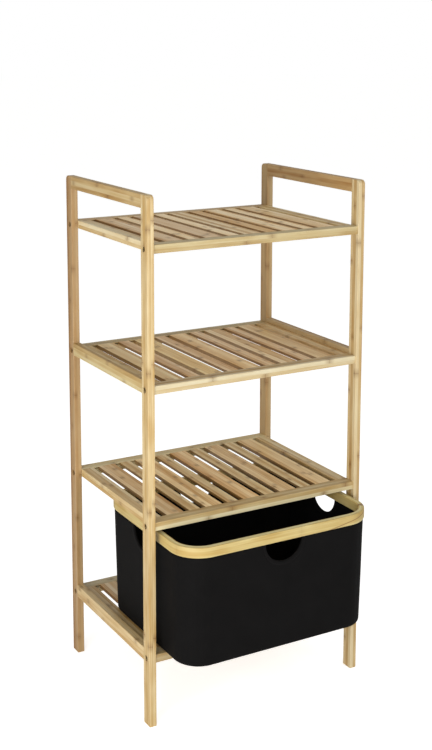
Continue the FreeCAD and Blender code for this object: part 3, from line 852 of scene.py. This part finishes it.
class RACK_OT_stage(bpy.types.Operator):
    """Sets the pale floor, the soft lights and the camera"""

    bl_idname = "rack.stage"
    bl_label = "Stage"

    def execute(self, context):
        look = context.scene.stage_look
        low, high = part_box("post_front_left")[0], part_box("post_rear_right")[1]
        middle = (low + high) / 2
        self.floor(look, middle)
        self.lights(look, middle)
        self.camera(look, middle)
        return {"FINISHED"}

    def floor(self, look, middle):
        """White studio paper that reaches to the horizon and stays pale."""
        mesh = bmesh.new()
        wide, just_under = 30, -0.2 * MM
        bmesh.ops.create_circle(mesh, cap_ends=True, segments=64, radius=wide)
        bmesh.ops.translate(mesh, verts=mesh.verts, vec=(middle.x, middle.y, just_under))
        data = bpy.data.meshes.new("floor")
        mesh.to_mesh(data)
        mesh.free()
        floor = bpy.data.objects.new("floor", data)
        bpy.context.scene.collection.objects.link(floor)
        material, tree = new_material("white studio paper")
        matt = {"Base Color": linear("#F4F4F3"), "Roughness": 0.9, "Specular IOR Level": 0.1}
        paper = add(tree, "ShaderNodeBsdfPrincipled", matt)
        # The paper's own glow is seen but lights nothing, so the rack's slots stay dark.
        white = linear("#FFFFFF")
        glow = add(tree, "ShaderNodeEmission", {"Color": white, "Strength": look.glow})
        direct = add(tree, "ShaderNodeLightPath", output="Is Camera Ray")
        seen = add(tree, "ShaderNodeMixShader", {0: direct, 2: glow})
        surface = add(tree, "ShaderNodeAddShader", {0: paper, 1: seen})
        add(tree, "ShaderNodeOutputMaterial", {"Surface": surface})
        data.materials.append(material)

    def lights(self, look, middle):
        """A large key in front, a fill on the left and a softbox overhead."""
        world = bpy.data.worlds.new("bright room")
        bpy.context.scene.world = world
        world.use_nodes = True
        tree = world.node_tree
        tree.nodes.clear()
        white = linear("#FFFFFF")
        seen = add(tree, "ShaderNodeBackground", {"Color": white, "Strength": 1.0})
        room = add(tree, "ShaderNodeBackground", {"Color": white, "Strength": look.sky})
        direct = add(tree, "ShaderNodeLightPath", output="Is Camera Ray")
        mixed = add(tree, "ShaderNodeMixShader", {0: direct, 1: room, 2: seen})
        add(tree, "ShaderNodeOutputWorld", {"Surface": mixed})
        # Each lamp's size and place in metres. All of them face the middle of the rack.
        for name, watts, size, spot in (
            ("key", look.key, 1.8, Vector((0.4, -1.9, 1.15))),
            ("fill", look.fill, 1.2, Vector((-1.7, -1.2, 0.62))),
            ("top", look.top, 1.8, Vector((0.1, 0.2, 2.9))),
        ):
            lamp = bpy.data.lights.new(name, "AREA")
            lamp.shape = "SQUARE"
            lamp.size = size
            lamp.energy = watts
            holder = bpy.data.objects.new(name, lamp)
            holder.location = spot
            holder.rotation_euler = (middle - spot).to_track_quat("-Z", "Y").to_euler()
            bpy.context.scene.collection.objects.link(holder)

    def camera(self, look, middle):
        """The camera, level from side to side and above the rack, looking slightly down."""
        turn, tilt = look.azimuth, look.elevation
        level = math.cos(tilt)
        back = Vector((math.sin(turn) * level, -math.cos(turn) * level, math.sin(tilt)))
        lens = bpy.data.cameras.new("camera")
        lens.lens = look.lens
        lens.sensor_width = 36
        lens.shift_x = look.shift_side
        lens.shift_y = look.shift_up
        camera = bpy.data.objects.new("camera", lens)
        aim = Vector((middle.x - look.aim_left, middle.y + look.aim_back, look.aim_height))
        camera.location = aim + back * look.distance
        camera.rotation_euler = (math.pi / 2 - tilt, 0, turn)
        bpy.context.scene.collection.objects.link(camera)
        bpy.context.scene.camera = camera
        bpy.context.scene.view_settings.view_transform = "Standard"


OPERATORS = (
    RACK_OT_stage,
    RACK_OT_end_frames,
    RACK_OT_shelves,
    RACK_OT_hardware,
    RACK_OT_basket_rim,
    RACK_OT_basket_cloth,
    RACK_OT_basket_board,
)


class RACK_PT_panel(bpy.types.Panel):
    """Lists the rack's pieces and settings in the sidebar"""

    bl_idname = "RACK_PT_panel"
    bl_label = "Slatted Rack"
    bl_space_type = "VIEW_3D"
    bl_region_type = "UI"
    bl_category = "Slatted Rack"

    def draw(self, context):
        for operator in OPERATORS:
            self.layout.operator(operator.bl_idname)
        for look in ("bamboo_look", "basket_look", "stage_look"):
            settings = getattr(context.scene, look)
            for name in settings.__annotations__:
                self.layout.prop(settings, name)


SETTINGS = {"bamboo_look": BambooLook, "basket_look": BasketLook, "stage_look": StageLook}


def register():
    """Registers the settings, the operators and the panel."""
    for name, group in SETTINGS.items():
        bpy.utils.register_class(group)
        setattr(bpy.types.Scene, name, PointerProperty(type=group))
    for part in (*OPERATORS, RACK_PT_panel):
        bpy.utils.register_class(part)


def unregister():
    """Takes them away again."""
    for part in (RACK_PT_panel, *reversed(OPERATORS)):
        bpy.utils.unregister_class(part)
    for name, group in SETTINGS.items():
        delattr(bpy.types.Scene, name)
        bpy.utils.unregister_class(group)


def main():
    """Makes every piece."""
    register()
    bpy.ops.rack.stage()
    bpy.ops.rack.end_frames()
    bpy.ops.rack.shelves()
    bpy.ops.rack.hardware()
    bpy.ops.rack.basket_rim()
    bpy.ops.rack.basket_cloth()
    bpy.ops.rack.basket_board()


if __name__ == "__main__":
    main()
